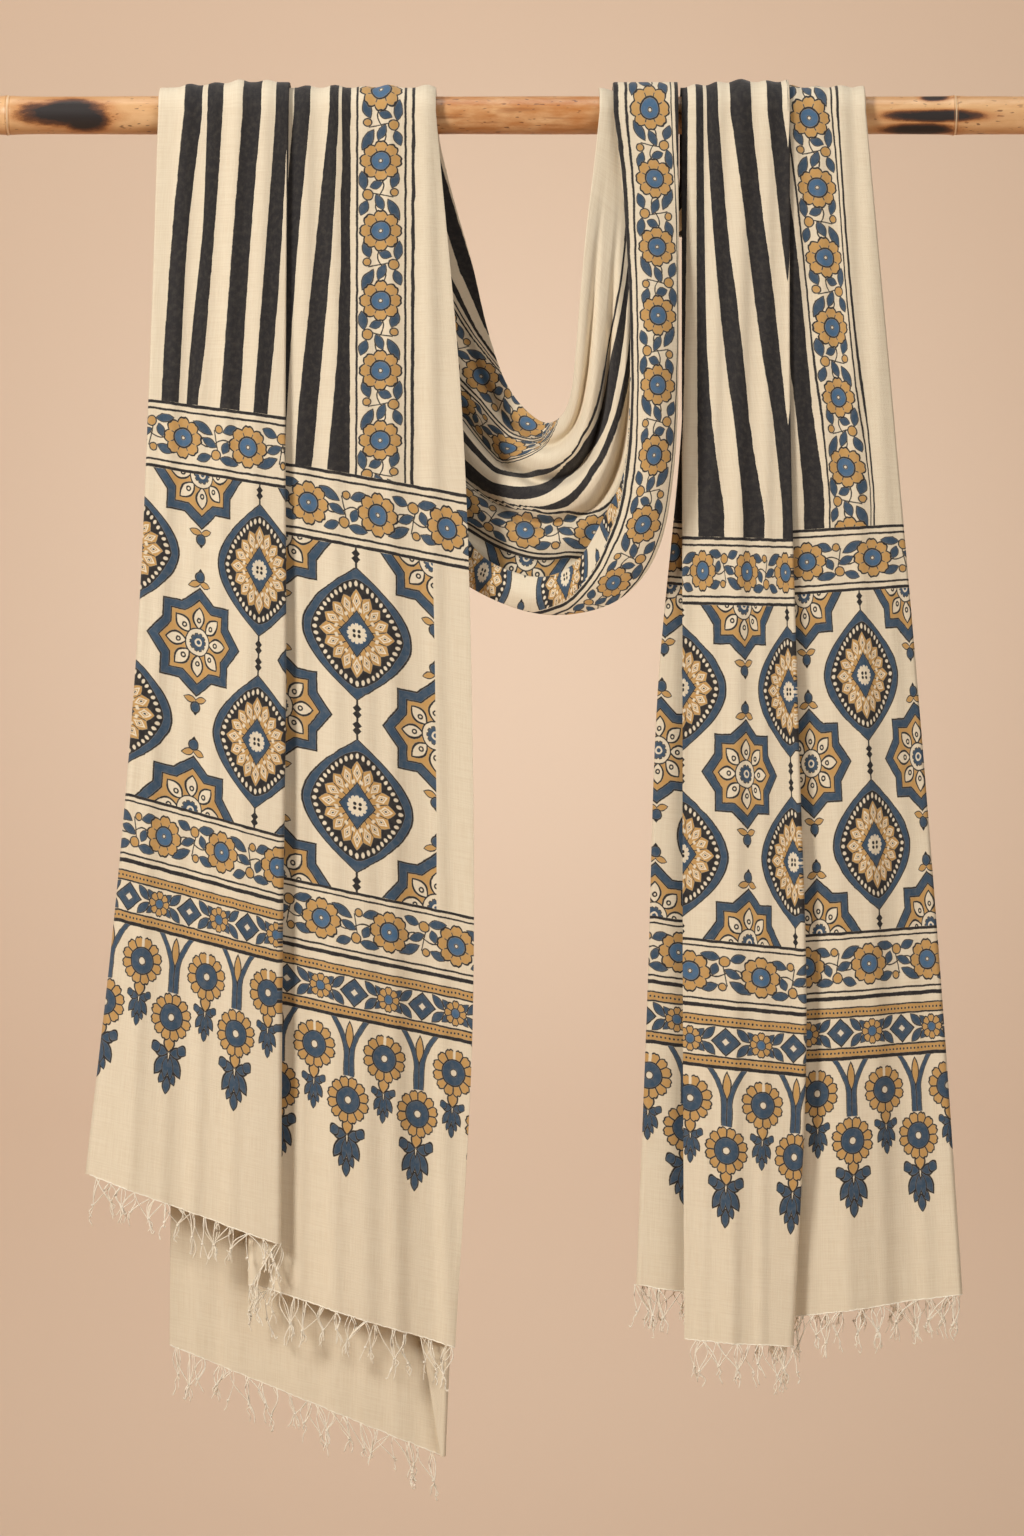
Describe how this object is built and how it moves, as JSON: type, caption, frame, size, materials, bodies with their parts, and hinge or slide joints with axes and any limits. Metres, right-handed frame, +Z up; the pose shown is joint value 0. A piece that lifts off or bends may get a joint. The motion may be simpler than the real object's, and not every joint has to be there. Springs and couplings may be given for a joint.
{
  "type": "block-printed ajrakh cloth hanging over a bamboo rod",
  "caption": "Long printed cotton cloth with knotted fringes, hung over a level bamboo rod in tails with a swag between them.",
  "frame": {"origin": "middle of the rod's axis, where the rod is held up", "axes": "+X along the rod to the viewer's right, -Y towards the viewer, +Z up"},
  "size_m": [0.84, 0.0951, 1.0054],
  "materials": {
    "printed_cotton": "matt plain-weave cotton, block printed in indigo, near-black and ochre",
    "fringe_thread": "matt undyed cotton thread",
    "bamboo": "satin, flame scorched in patches"
  },
  "bodies": {
    "root": {"cloth": "printed_cotton", "fringe_left_front": "fringe_thread", "fringe_left_back": "fringe_thread", "fringe_right": "fringe_thread", "rod": "bamboo"}
  },
  "joints": []
}
